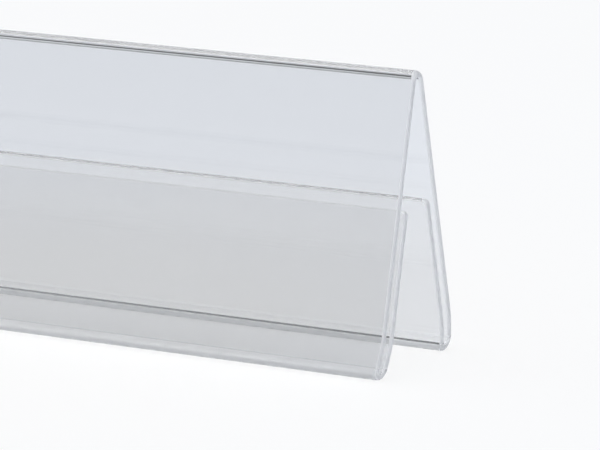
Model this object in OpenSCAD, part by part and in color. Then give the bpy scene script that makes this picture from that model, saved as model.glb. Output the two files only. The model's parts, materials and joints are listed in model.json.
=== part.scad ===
// Tent-shaped table sign holder, folded from one clear plastic sheet.
// The ridge runs along X, the front leg is at -Y, and Z is up from the table.
// Each flat and each bend of the sheet is a sub-part of its own, and neighbours meet
// face to face at the bend lines.

/* [Sheet] */
// Length of the holder along its ridge
holder_l = 210; // [80:1:300]
// Thickness of the clear sheet
sheet_t = 1.5; // [1:0.1:2.5]

/* [Legs] */
// Height of the flat part of each outer panel, from foot bend to ridge bend
panel_h = 60.5; // [50:0.5:110]
// Lean of each leg from the vertical, in degrees
lean = 14; // [8:0.5:25]
// Inside radius of the ridge bend
ridge_r = 0.9; // [0.5:0.1:3]

/* [Card pockets] */
// Clear gap between a panel and its pocket flap
pocket_gap = 2; // [1:0.1:4]
// Height of the flat part of the front pocket flap, from foot bend to top edge
front_flap_h = 33.4; // [15:0.1:45]
// Height of the flat part of the back pocket flap, from foot bend to top edge
back_flap_h = 34.1; // [15:0.1:45]
// Radius of the two top corners of each pocket flap
flap_corner_r = 1.2; // [0.2:0.1:5]

/* [Hidden] */

$fn = 96;
clear_plastic = [0.88, 0.91, 0.95, 0.45];
bend_plastic = [0.78, 0.82, 0.88, 0.6];

// The foot is a half-round turn that carries the flap up behind the panel
foot_r = pocket_gap / 2;
foot_outer_r = foot_r + sheet_t;
foot_turn = 180;

// The ridge turns from one leaning panel to the other
ridge_outer_r = ridge_r + sheet_t;
ridge_turn = 180 - 2 * lean;

// Centre line of the back foot bend, with its underside on the table
foot_y = panel_h * sin(lean) + (ridge_outer_r - foot_outer_r) * cos(lean);
foot_z = foot_outer_r;

// Centre line of the ridge bend, midway between the two legs
ridge_z = foot_z + panel_h * cos(lean) - (ridge_outer_r - foot_outer_r) * sin(lean);

// Frame of the back leg: origin on the foot bend's centre line, Z up the leg, Y outwards
module on_back_leg() {
    translate([0, foot_y, foot_z])
        rotate([lean, 0, 0])
            children();
}

// The front leg is the back leg seen in the ridge's upright mid-plane
module on_front_leg() {
    mirror([0, 1, 0])
        on_back_leg()
            children();
}

// Part of a round bend along X, from one angle above +Y through a turn towards +Z
module bend(inner_r, start, turn) {
    rotate([start, 0, 0])
        rotate([90, 0, 90])
            translate([0, 0, -holder_l / 2])
                rotate_extrude(angle = turn)
                    translate([inner_r, 0])
                        square([sheet_t, holder_l]);
}

// Outline of a flap, standing on its bend line, with its two top corners rounded
module flap_outline(height) {
    inset = holder_l / 2 - flap_corner_r;
    translate([-holder_l / 2, 0])
        square([holder_l, height - flap_corner_r]);
    translate([-inset, 0])
        square([2 * inset, height]);
    for (side = [-1, 1])
        translate([side * inset, height - flap_corner_r])
            circle(flap_corner_r);
}

// Outer panel in the leg's frame, outside the pocket
module panel() {
    color(clear_plastic)
        translate([-holder_l / 2, foot_r, 0])
            cube([holder_l, sheet_t, panel_h]);
}

// Foot bend in the leg's frame, round the underside from flap to panel
module foot_bend() {
    color(bend_plastic)
        bend(foot_r, -foot_turn, foot_turn);
}

// Pocket flap in the leg's frame, inside the pocket
module pocket_flap(height) {
    color(clear_plastic)
        translate([0, -foot_r, 0])
            rotate([90, 0, 0])
                linear_extrude(sheet_t)
                    flap_outline(height);
}

module ridge_bend() {
    color(bend_plastic)
        translate([0, 0, ridge_z])
            bend(ridge_r, lean, ridge_turn);
}

module front_panel() {
    on_front_leg() panel();
}

module front_foot_bend() {
    on_front_leg() foot_bend();
}

module front_pocket_flap() {
    on_front_leg() pocket_flap(front_flap_h);
}

module back_panel() {
    on_back_leg() panel();
}

module back_foot_bend() {
    on_back_leg() foot_bend();
}

module back_pocket_flap() {
    on_back_leg() pocket_flap(back_flap_h);
}

ridge_bend();
front_panel();
front_foot_bend();
front_pocket_flap();
back_panel();
back_foot_bend();
back_pocket_flap();
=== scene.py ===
"""Clear folded table sign holder on a white table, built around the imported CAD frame.

The holder is one clear sheet: a ridge bend, two panels, two foot bends and two pocket
flaps. Every piece here stands for the CAD node of the same place. All lengths are metres.
"""
import json
from math import atan2, cos, pi, radians, sin

import bpy
from mathutils import Matrix, Vector


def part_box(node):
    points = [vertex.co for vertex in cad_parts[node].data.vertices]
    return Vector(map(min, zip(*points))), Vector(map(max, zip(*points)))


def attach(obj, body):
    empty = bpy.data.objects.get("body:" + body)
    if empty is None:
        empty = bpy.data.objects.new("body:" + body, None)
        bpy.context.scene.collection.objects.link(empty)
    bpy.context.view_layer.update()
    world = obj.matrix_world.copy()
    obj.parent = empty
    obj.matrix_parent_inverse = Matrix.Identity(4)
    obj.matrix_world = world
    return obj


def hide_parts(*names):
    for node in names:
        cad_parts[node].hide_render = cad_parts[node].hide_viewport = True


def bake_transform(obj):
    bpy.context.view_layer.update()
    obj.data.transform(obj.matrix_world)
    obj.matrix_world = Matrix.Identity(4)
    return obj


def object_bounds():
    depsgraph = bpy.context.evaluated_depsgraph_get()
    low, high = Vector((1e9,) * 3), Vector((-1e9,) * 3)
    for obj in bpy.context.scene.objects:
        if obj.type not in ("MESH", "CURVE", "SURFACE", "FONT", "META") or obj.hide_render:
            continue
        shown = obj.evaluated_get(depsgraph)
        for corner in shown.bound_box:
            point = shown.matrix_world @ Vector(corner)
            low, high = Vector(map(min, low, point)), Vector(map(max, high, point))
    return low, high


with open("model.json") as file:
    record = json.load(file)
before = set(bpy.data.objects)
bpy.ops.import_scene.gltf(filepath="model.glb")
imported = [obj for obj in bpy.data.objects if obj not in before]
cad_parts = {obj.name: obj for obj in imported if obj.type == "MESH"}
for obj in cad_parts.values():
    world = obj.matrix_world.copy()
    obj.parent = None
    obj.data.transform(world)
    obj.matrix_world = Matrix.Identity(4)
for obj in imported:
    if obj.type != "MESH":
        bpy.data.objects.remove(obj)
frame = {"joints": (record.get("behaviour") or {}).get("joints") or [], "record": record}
cad_lo, cad_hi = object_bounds()

MM = 0.001

# Rounding of the cut edges and drawing in of the heated foot ends, which the CAD leaves out
EDGE_ROUND = 0.4 * MM
BEND_ROUND = 1.0 * MM
FOOT_DRAW_IN = 0.8 * MM
DRAW_REACH = 9.0 * MM

# Top corners of the flaps, as in the CAD
FLAP_CORNER_R = 1.2 * MM

# Fold line of each pocket flap, a hair crack that mirrors the room as a fine dark line
CREASE_GAP = 0.01 * MM

# Mesh steps along each round
ROUND_STEPS = 7
DRAW_STEPS = 8
CORNER_STEPS = 10
BEND_STEPS = 56

# Camera, found by fitting the part's edges to the photograph's
IMAGE_W = 600
SENSOR_W = 36.0
FOCAL_PX = 4680.0
CAMERA_AZIMUTH = radians(29.09)
CAMERA_ELEVATION = radians(12.46)
CAMERA_ROLL = radians(-0.13)
CAMERA_DISTANCE = 991.7 * MM
AIM_LEFT_OF_END = 24.9 * MM
AIM_ABOVE_TABLE = 29.9 * MM

# Clear plastic, with smears that vary its roughness over a span
SHEET_IOR = 1.49
SMEAR_SCALE = 90.0
SMEAR_DETAIL = 4.0
SHEET_TINT = (0.955, 0.955, 0.955, 1.0)
EDGE_TINT = (0.93, 0.93, 0.94, 1.0)
FACE_FINISH = {"tint": SHEET_TINT, "clearness": 1.0, "roughness": (0.0, 0.01)}
CREASE_FINISH = {"tint": SHEET_TINT, "clearness": 1.0, "roughness": (0.22, 0.28)}
# Heating leaves the tight foot bends hazy and glazes their ends
BEND_FINISH = {"tint": SHEET_TINT, "clearness": 1.0, "roughness": (0.28, 0.38)}
GLAZED_FINISH = {"tint": EDGE_TINT, "clearness": 0.6, "roughness": (0.12, 0.18)}
# The other ends are sawn and stay satin, and the long top edges of the flaps are clearer
END_FINISH = {"tint": EDGE_TINT, "clearness": 0.5, "roughness": (0.4, 0.5)}
RIM_FINISH = {"tint": EDGE_TINT, "clearness": 0.85, "roughness": (0.2, 0.28)}

# White table, painted darker and bluer away from the holder as shade for the dimmer, cooler light far
# off. The shares are the part of it that is seen as plain white
WHITE = (1.0, 1.0, 1.0, 1.0)
FLOOR_HALF = 6.0
FLOOR_NEAR_COLOUR = (0.9, 0.9, 0.9, 1.0)
FLOOR_FAR_SHADED_COLOUR = (0.86, 0.885, 0.93, 1.0)
FLOOR_NEAR = 60 * MM
FLOOR_FAR = 180 * MM
FLOOR_ROUGHNESS = 0.9
FLOOR_SPECULAR = 0.1
CAMERA_WHITE_SHARE = 0.8
GLASS_WHITE_SHARE = 0.15

# A lamp overhead and one at the left
SOFTBOX_DISTANCE = 2.5
TOP_SOFTBOX = {"size": 1.6, "azimuth": radians(40.0), "elevation": radians(83.0), "power": 25.0}
LEFT_SOFTBOX = {"size": 2.0, "azimuth": radians(-66.0), "elevation": radians(48.0), "power": 9.3}

# Pale room, dimmer near the table, with a dark flag behind and above the holder
ROOM_COLOUR = (0.96, 1.0, 1.06, 1.0)
LOW_LIGHT = 0.3
HIGH_LIGHT = 0.76
LOW_TOP = radians(14.0)
HIGH_START = radians(26.0)
FLAG_AZIMUTH = radians(184.0)
FLAG_ELEVATION = radians(62.0)
FLAG_CORE = radians(30.0)
FLAG_EDGE = radians(41.0)
FLAG_LIGHT = 0.05

# Light caught in the sheet is followed until it leaves at an edge or a bend
LIGHT_BOUNCES = 256
INDIRECT_CLAMP = 3.0

# Colour sockets of Blender's mix node, which share their names with its other sockets
MIX_COLOUR_A = 6
MIX_COLOUR_B = 7
MIX_COLOUR_RESULT = 2


# Sizes of the folded sheet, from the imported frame

joints = {j["name"]: j for j in frame["joints"]}
mounts = {m["name"]: m for m in frame["record"]["mounts"]}

face_axis = mounts["back_face"]["axis"]
LEAN = atan2(face_axis[2], face_axis[1])
RIDGE_CENTRE = Vector(joints["ridge_flex"]["pos_m"])
FOOT_CENTRE = {
    "front": Vector(joints["front_pocket_flex"]["pos_m"]),
    "back": Vector(joints["back_pocket_flex"]["pos_m"]),
}
SIDE_SIGN = {"front": -1.0, "back": 1.0}


def slab_size(name):
    """(thickness, height) of a CAD flat that leans by LEAN, from its box."""
    lo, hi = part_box(name)
    depth = hi.y - lo.y
    rise = hi.z - lo.z
    thick = (depth * cos(LEAN) - rise * sin(LEAN)) / cos(2 * LEAN)
    height = (rise * cos(LEAN) - depth * sin(LEAN)) / cos(2 * LEAN)
    return thick, height


SHEET_T, PANEL_H = slab_size("back_panel")
FLAP_H = {side: slab_size(f"{side}_pocket_flap")[1] for side in SIDE_SIGN}
HALF_L = (cad_hi.x - cad_lo.x) / 2
FOOT_OUTER_R = FOOT_CENTRE["back"].z - cad_lo.z
FOOT_INNER_R = FOOT_OUTER_R - SHEET_T
FOOT_HALF_RUN = pi / 2 * (FOOT_INNER_R + SHEET_T / 2)
RIDGE_OUTER_R = cad_hi.z - RIDGE_CENTRE.z
RIDGE_INNER_R = RIDGE_OUTER_R - SHEET_T


# Meshes

def edge_profile(first_round, second_round):
    """Rounded cut edge, from the sheet's first face to its second: (inset, depth, turn).

    turn is the angle that the surface faces across the sheet: -90 degrees on the first
    face, 0 on the cut and 90 degrees on the second face.
    """
    arc = [k / ROUND_STEPS * pi / 2 for k in range(ROUND_STEPS + 1)]
    first = [
        (first_round * (1 - sin(a)), first_round * (1 - cos(a)), a - pi / 2)
        for a in arc
    ]
    second = [
        (second_round * (1 - sin(a)), SHEET_T - second_round * (1 - cos(a)), pi / 2 - a)
        for a in reversed(arc)
    ]
    return first + second


class SheetMesh:
    """Gathers vertices with their surface normals, faces and each face's finish."""

    FACE, BENT, END, GLAZED, RIM, SEAM, CREASE = range(7)

    def __init__(self):
        self.points = []
        self.normals = []
        self.faces = []
        self.finish = []

    def vertex(self, point, normal):
        """Add a vertex and give its number."""
        self.points.append(point)
        self.normals.append(normal.normalized())
        return len(self.points) - 1

    def face(self, corners, finish):
        """Add a face with the given vertex numbers."""
        self.faces.append(corners)
        self.finish.append(finish)

    def to_object(self, name, materials):
        """Make the Blender object. materials are in the order of the finishes."""
        mesh = bpy.data.meshes.new(name)
        mesh.from_pydata(self.points, [], self.faces)
        for material in materials:
            mesh.materials.append(material)
        mesh.polygons.foreach_set("material_index", self.finish)
        mesh.polygons.foreach_set("use_smooth", [True] * len(self.faces))
        loop_normals = []
        for polygon in mesh.polygons:
            flat = polygon.material_index in (SheetMesh.SEAM, SheetMesh.CREASE)
            for k in polygon.vertices:
                loop_normals.append(polygon.normal.copy() if flat else self.normals[k])
        mesh.normals_split_custom_set(loop_normals)
        mesh.update()
        obj = bpy.data.objects.new(name, mesh)
        bpy.context.scene.collection.objects.link(obj)
        return obj


def leg_axes(side):
    """Up the leg and outwards from it, for one leg."""
    sign = SIDE_SIGN[side]
    up = Vector((0, -sign * sin(LEAN), cos(LEAN)))
    out = Vector((0, sign * cos(LEAN), sin(LEAN)))
    return up, out


def plate(origin, up, across, outline_at, finish_of):
    """Flat piece of the sheet with rounded cut edges.

    across points from its first face to its second. outline_at(inset) lists the outline
    as (x, height, edge normal in x and height). finish_of gives the finish of the outline
    segments, by number, that are not sawn ends.
    """
    sheet = SheetMesh()
    along = Vector((1, 0, 0))
    rings = []
    for inset, depth, turn in edge_profile(EDGE_ROUND, EDGE_ROUND):
        ring = []
        for x, height, (nx, nh) in outline_at(inset):
            point = origin + along * x + up * height + across * depth
            edge = along * nx + up * nh
            ring.append(sheet.vertex(point, across * sin(turn) + edge * cos(turn)))
        rings.append(ring)
    count = len(rings[0])
    # Order of each face's corners that turns it outwards
    order = -1 if along.cross(up).dot(across) < 0 else 1
    sheet.face(rings[0][::-order], SheetMesh.FACE)
    sheet.face(rings[-1][::order], SheetMesh.FACE)
    for low, high in zip(rings, rings[1:]):
        for k in range(count):
            n = (k + 1) % count
            corners = [low[k], low[n], high[n], high[k]]
            sheet.face(corners[::order], finish_of.get(k, SheetMesh.END))
    return sheet


def draw_in(depth, run):
    """How far a heated bend draws in the sheet's ends, at a run along the sheet from its middle."""
    t = min(run / DRAW_REACH, 1.0)
    return depth * (1 - t * t * (3 - 2 * t))


def lower_end(inset):
    """Half length and height of points up a flat's end, from its foot bend."""
    heights = [k / DRAW_STEPS * DRAW_REACH for k in range(DRAW_STEPS + 1)]
    return [(HALF_L - inset - draw_in(FOOT_DRAW_IN, FOOT_HALF_RUN + h), h) for h in heights]


def end_to_end(upper, inset):
    """Outline from the lower left corner round to the right, with upper between the two ends."""
    right = [(x, h, (1, 0)) for x, h in lower_end(inset)]
    left = [(-x, h, (-1, 0)) for x, h in lower_end(inset)]
    return left[:1] + right + upper + left[:0:-1]


def panel_outline(inset):
    """Outer panel: cut at both ends, joined to bends below and above."""
    half = HALF_L - inset
    return end_to_end([(half, PANEL_H, (1, 0)), (-half, PANEL_H, (-1, 0))], inset)


def flap_outline(height):
    """Pocket flap: joined to its bend below, cut at both ends and along its rounded top."""

    def at(inset):
        centre_x = HALF_L - FLAP_CORNER_R
        centre_h = height - FLAP_CORNER_R
        radius = FLAP_CORNER_R - inset
        upper = []
        for quarter, sign in ((0, 1), (1, -1)):
            for k in range(CORNER_STEPS + 1):
                a = (quarter + k / CORNER_STEPS) * pi / 2
                upper.append((
                    sign * centre_x + radius * cos(a),
                    centre_h + radius * sin(a),
                    (cos(a), sin(a)),
                ))
        return end_to_end(upper, inset)

    return at


def bend(centre, inner_r, start, turn, joined, faces, ends, drawn=0.0):
    """Part of a round bend along X, turned about centre in the YZ plane from +Y to +Z.

    joined gives the finishes at its start and end, where the next pieces go on, faces the
    finish of its curved faces and ends that of its cut ends, which are drawn in.
    """
    sheet = SheetMesh()
    rings = []
    for k in range(BEND_STEPS + 1):
        a = start + turn * k / BEND_STEPS
        radial = Vector((0, cos(a), sin(a)))
        outer_round = EDGE_ROUND + (BEND_ROUND - EDGE_ROUND) * sin(pi * k / BEND_STEPS)
        profile = edge_profile(EDGE_ROUND, outer_round)
        run = abs(k / BEND_STEPS - 0.5) * turn * (inner_r + SHEET_T / 2)
        half = HALF_L - draw_in(drawn, run)
        ring = []
        for x_sign, side in ((-1, profile), (1, profile[::-1])):
            end = Vector((x_sign, 0, 0))
            for inset, depth, face_turn in side:
                point = centre + end * (half - inset) + radial * (inner_r + depth)
                ring.append(sheet.vertex(point, radial * sin(face_turn) + end * cos(face_turn)))
        rings.append(ring)
    count = len(rings[0])
    outside = count // 2 - 1
    inside = count - 1
    for low, high in zip(rings, rings[1:]):
        for i in range(count):
            n = (i + 1) % count
            finish = faces if i in (outside, inside) else ends
            sheet.face([low[i], high[i], high[n], low[n]], finish)
    sheet.face(rings[0], joined[0])
    sheet.face(rings[-1][::-1], joined[1])
    return sheet


# Shader nodes

def feed(tree, socket, value):
    """Set an input socket, or link it where the value is an output socket."""
    if isinstance(value, bpy.types.NodeSocket):
        tree.links.new(value, socket)
    else:
        socket.default_value = value


def node(tree, kind, **inputs):
    """New shader node with inputs fed by name, where an underscore stands for a space."""
    made = tree.nodes.new(kind)
    for name, value in inputs.items():
        feed(tree, made.inputs[name.replace("_", " ")], value)
    return made


def compute(tree, kind, operation, *values):
    """Number from a new math or vector math node, with inputs fed in their order."""
    made = tree.nodes.new(kind)
    made.operation = operation
    for socket, value in zip(made.inputs, values):
        feed(tree, socket, value)
    return made.outputs["Value"]


def ease(tree, value, low, high, at_low, at_high):
    """Number that goes smoothly from at_low to at_high while value goes from low to high."""
    made = node(
        tree, "ShaderNodeMapRange", Value=value,
        From_Min=low, From_Max=high, To_Min=at_low, To_Max=at_high,
    )
    made.interpolation_type = "SMOOTHSTEP"
    return made.outputs[0]


def mix_to_output(tree, share, first, second, output):
    """Mix two nodes' shaders into the tree's output node. share is the second one's part."""
    mix = tree.nodes.new("ShaderNodeMixShader")
    tree.links.new(share, mix.inputs[0])
    tree.links.new(first.outputs[0], mix.inputs[1])
    tree.links.new(second.outputs[0], mix.inputs[2])
    tree.links.new(mix.outputs[0], tree.nodes[output].inputs["Surface"])


# Materials

def new_material(name):
    """New material, its node tree and its shader."""
    material = bpy.data.materials.new(name)
    material.use_nodes = True
    tree = material.node_tree
    return material, tree, tree.nodes["Principled BSDF"]


def clear_plastic(name, tint, clearness, roughness):
    """Clear sheet with faint smears in its gloss."""
    material, tree, shader = new_material(name)
    shader.inputs["Base Color"].default_value = tint
    shader.inputs["Transmission Weight"].default_value = clearness
    shader.inputs["IOR"].default_value = SHEET_IOR
    place = tree.nodes.new("ShaderNodeTexCoord").outputs["Object"]
    smear = node(
        tree, "ShaderNodeTexNoise", Vector=place, Scale=SMEAR_SCALE, Detail=SMEAR_DETAIL,
    )
    smoothest, roughest = roughness
    gloss = node(
        tree, "ShaderNodeMapRange", Value=smear.outputs[0], To_Min=smoothest, To_Max=roughest,
    )
    tree.links.new(gloss.outputs[0], shader.inputs["Roughness"])
    return material


def inside_material(name):
    """Bend line inside the sheet, where one piece's plastic goes on into the next."""
    material, _, shader = new_material(name)
    shader.inputs["Alpha"].default_value = 0.0
    return material


def table_material(name):
    """White table, seen mostly as plain white by the camera, and a little so in and through glass."""
    material, tree, shader = new_material(name)
    place = tree.nodes.new("ShaderNodeTexCoord").outputs["Object"]
    away = compute(tree, "ShaderNodeVectorMath", "LENGTH", place)
    reach = node(
        tree, "ShaderNodeMapRange", Value=away, From_Min=FLOOR_NEAR, From_Max=FLOOR_FAR,
    )
    # Painted shade: the table's colour turns darker and bluer between FLOOR_NEAR and FLOOR_FAR from
    # the holder, for the dimmer, cooler light far off
    colour = tree.nodes.new("ShaderNodeMix")
    colour.data_type = "RGBA"
    tree.links.new(reach.outputs[0], colour.inputs["Factor"])
    colour.inputs[MIX_COLOUR_A].default_value = FLOOR_NEAR_COLOUR
    colour.inputs[MIX_COLOUR_B].default_value = FLOOR_FAR_SHADED_COLOUR
    tree.links.new(colour.outputs[MIX_COLOUR_RESULT], shader.inputs["Base Color"])
    shader.inputs["Roughness"].default_value = FLOOR_ROUGHNESS
    shader.inputs["Specular IOR Level"].default_value = FLOOR_SPECULAR
    white = node(tree, "ShaderNodeEmission", Color=WHITE, Strength=1.0)
    ray = tree.nodes.new("ShaderNodeLightPath").outputs
    by_glass = compute(
        tree, "ShaderNodeMath", "MAXIMUM", ray["Is Glossy Ray"], ray["Is Transmission Ray"],
    )
    glass_share = compute(tree, "ShaderNodeMath", "MULTIPLY", by_glass, GLASS_WHITE_SHARE)
    camera_share = compute(
        tree, "ShaderNodeMath", "MULTIPLY", ray["Is Camera Ray"], CAMERA_WHITE_SHARE,
    )
    share = compute(tree, "ShaderNodeMath", "ADD", glass_share, camera_share)
    mix_to_output(tree, share, shader, white, "Material Output")
    return material


# In the order of SheetMesh's finishes
finishes = [
    clear_plastic("clear_sheet", **FACE_FINISH),
    clear_plastic("bent_sheet", **BEND_FINISH),
    clear_plastic("sawn_end", **END_FINISH),
    clear_plastic("glazed_end", **GLAZED_FINISH),
    clear_plastic("flap_rim", **RIM_FINISH),
    inside_material("sheet_inside"),
    clear_plastic("fold_line", **CREASE_FINISH),
]


# Pieces of the sheet

def finish_piece(cad_node):
    """Hide the CAD node that a piece stands for."""
    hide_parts(cad_node)


for side in SIDE_SIGN:
    up, out = leg_axes(side)
    foot = FOOT_CENTRE[side]
    leg_body = f"{side}_leg"
    flap_body = f"{side}_flap"

    seams = {0: SheetMesh.SEAM, DRAW_STEPS + 2: SheetMesh.SEAM}
    panel = plate(foot + out * FOOT_INNER_R, up, out, panel_outline, seams)
    panel = panel.to_object(f"{side}_panel_sheet", finishes)
    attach(panel, leg_body)
    finish_piece(f"{side}_panel")

    edges = {0: SheetMesh.CREASE, DRAW_STEPS + 2 + CORNER_STEPS: SheetMesh.RIM}
    flap_foot = foot - out * FOOT_INNER_R + up * CREASE_GAP
    flap = plate(flap_foot, up, -out, flap_outline(FLAP_H[side] - CREASE_GAP), edges)
    flap = flap.to_object(f"{side}_flap_sheet", finishes)
    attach(flap, flap_body)
    finish_piece(f"{side}_pocket_flap")

    foot_start = pi + LEAN if side == "back" else pi - LEAN
    joined = (SheetMesh.SEAM, SheetMesh.CREASE)
    if side == "back":
        joined = joined[::-1]
    turned = bend(
        foot, FOOT_INNER_R, foot_start, pi, joined,
        faces=SheetMesh.BENT, ends=SheetMesh.GLAZED, drawn=FOOT_DRAW_IN,
    )
    turned = turned.to_object(f"{side}_foot_sheet", finishes)
    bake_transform(turned)
    finish_piece(f"{side}_foot_bend")

ridge = bend(
    RIDGE_CENTRE, RIDGE_INNER_R, LEAN, pi - 2 * LEAN, (SheetMesh.SEAM, SheetMesh.SEAM),
    faces=SheetMesh.FACE, ends=SheetMesh.END,
)
ridge = ridge.to_object("ridge_sheet", finishes)
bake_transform(ridge)
finish_piece("ridge_bend")


# Studio

def make_floor():
    """Table top, level with the holder's feet."""
    h = FLOOR_HALF
    z = cad_lo.z
    mesh = bpy.data.meshes.new("floor")
    mesh.from_pydata([(-h, -h, z), (h, -h, z), (h, h, z), (-h, h, z)], [], [(0, 1, 2, 3)])
    mesh.materials.append(table_material("table_white"))
    floor = bpy.data.objects.new("floor", mesh)
    bpy.context.scene.collection.objects.link(floor)


def seen_from(azimuth, elevation):
    """Unit vector from the holder towards a place in the studio. Azimuth 0 is the front."""
    return Vector((
        sin(azimuth) * cos(elevation),
        -cos(azimuth) * cos(elevation),
        sin(elevation),
    ))


def make_softbox(name, size, azimuth, elevation, power):
    """Square lamp that faces the holder."""
    lamp = bpy.data.lights.new(name, "AREA")
    lamp.shape = "SQUARE"
    lamp.size = size
    lamp.energy = power
    softbox = bpy.data.objects.new(name, lamp)
    towards = seen_from(azimuth, elevation)
    softbox.location = towards * SOFTBOX_DISTANCE
    softbox.rotation_mode = "QUATERNION"
    softbox.rotation_quaternion = towards.to_track_quat("Z", "Y")
    bpy.context.scene.collection.objects.link(softbox)


def make_world():
    """Room round the table. The camera sees plain white instead."""
    world = bpy.data.worlds.new("studio")
    world.use_nodes = True
    tree = world.node_tree
    direction = tree.nodes.new("ShaderNodeTexCoord").outputs["Generated"]
    height = node(tree, "ShaderNodeSeparateXYZ", Vector=direction).outputs["Z"]
    level = ease(tree, height, sin(LOW_TOP), sin(HIGH_START), LOW_LIGHT, HIGH_LIGHT)
    flag = seen_from(FLAG_AZIMUTH, FLAG_ELEVATION)
    nearness = compute(tree, "ShaderNodeVectorMath", "DOT_PRODUCT", direction, flag)
    shade = ease(tree, nearness, cos(FLAG_EDGE), cos(FLAG_CORE), 1.0, FLAG_LIGHT)
    light = compute(tree, "ShaderNodeMath", "MULTIPLY", level, shade)
    room = tree.nodes["Background"]
    room.inputs["Color"].default_value = ROOM_COLOUR
    tree.links.new(light, room.inputs["Strength"])
    white = node(tree, "ShaderNodeBackground", Color=WHITE, Strength=1.0)
    ray = tree.nodes.new("ShaderNodeLightPath").outputs
    mix_to_output(tree, ray["Is Camera Ray"], room, white, "World Output")
    bpy.context.scene.world = world


def make_camera():
    """Camera with the photograph's view of the holder's right end."""
    back = seen_from(CAMERA_AZIMUTH, CAMERA_ELEVATION)
    level = Vector((cos(CAMERA_AZIMUTH), sin(CAMERA_AZIMUTH), 0))
    upright = back.cross(level)
    right = cos(CAMERA_ROLL) * level + sin(CAMERA_ROLL) * upright
    up = cos(CAMERA_ROLL) * upright - sin(CAMERA_ROLL) * level
    aim = Vector((cad_hi.x, 0, cad_lo.z)) - right * AIM_LEFT_OF_END + up * AIM_ABOVE_TABLE
    data = bpy.data.cameras.new("camera")
    data.sensor_width = SENSOR_W
    data.lens = FOCAL_PX / IMAGE_W * SENSOR_W
    camera = bpy.data.objects.new("camera", data)
    rotation = Matrix((right, up, back)).transposed().to_4x4()
    camera.matrix_world = Matrix.Translation(aim + back * CAMERA_DISTANCE) @ rotation
    bpy.context.scene.collection.objects.link(camera)
    bpy.context.scene.camera = camera


make_floor()
make_softbox("top_softbox", **TOP_SOFTBOX)
make_softbox("left_softbox", **LEFT_SOFTBOX)
make_world()
make_camera()
bpy.context.scene.view_settings.view_transform = "Standard"
bpy.context.scene.cycles.max_bounces = LIGHT_BOUNCES
bpy.context.scene.cycles.transmission_bounces = LIGHT_BOUNCES
bpy.context.scene.cycles.glossy_bounces = LIGHT_BOUNCES
bpy.context.scene.cycles.blur_glossy = 0.0
bpy.context.scene.cycles.sample_clamp_indirect = INDIRECT_CLAMP
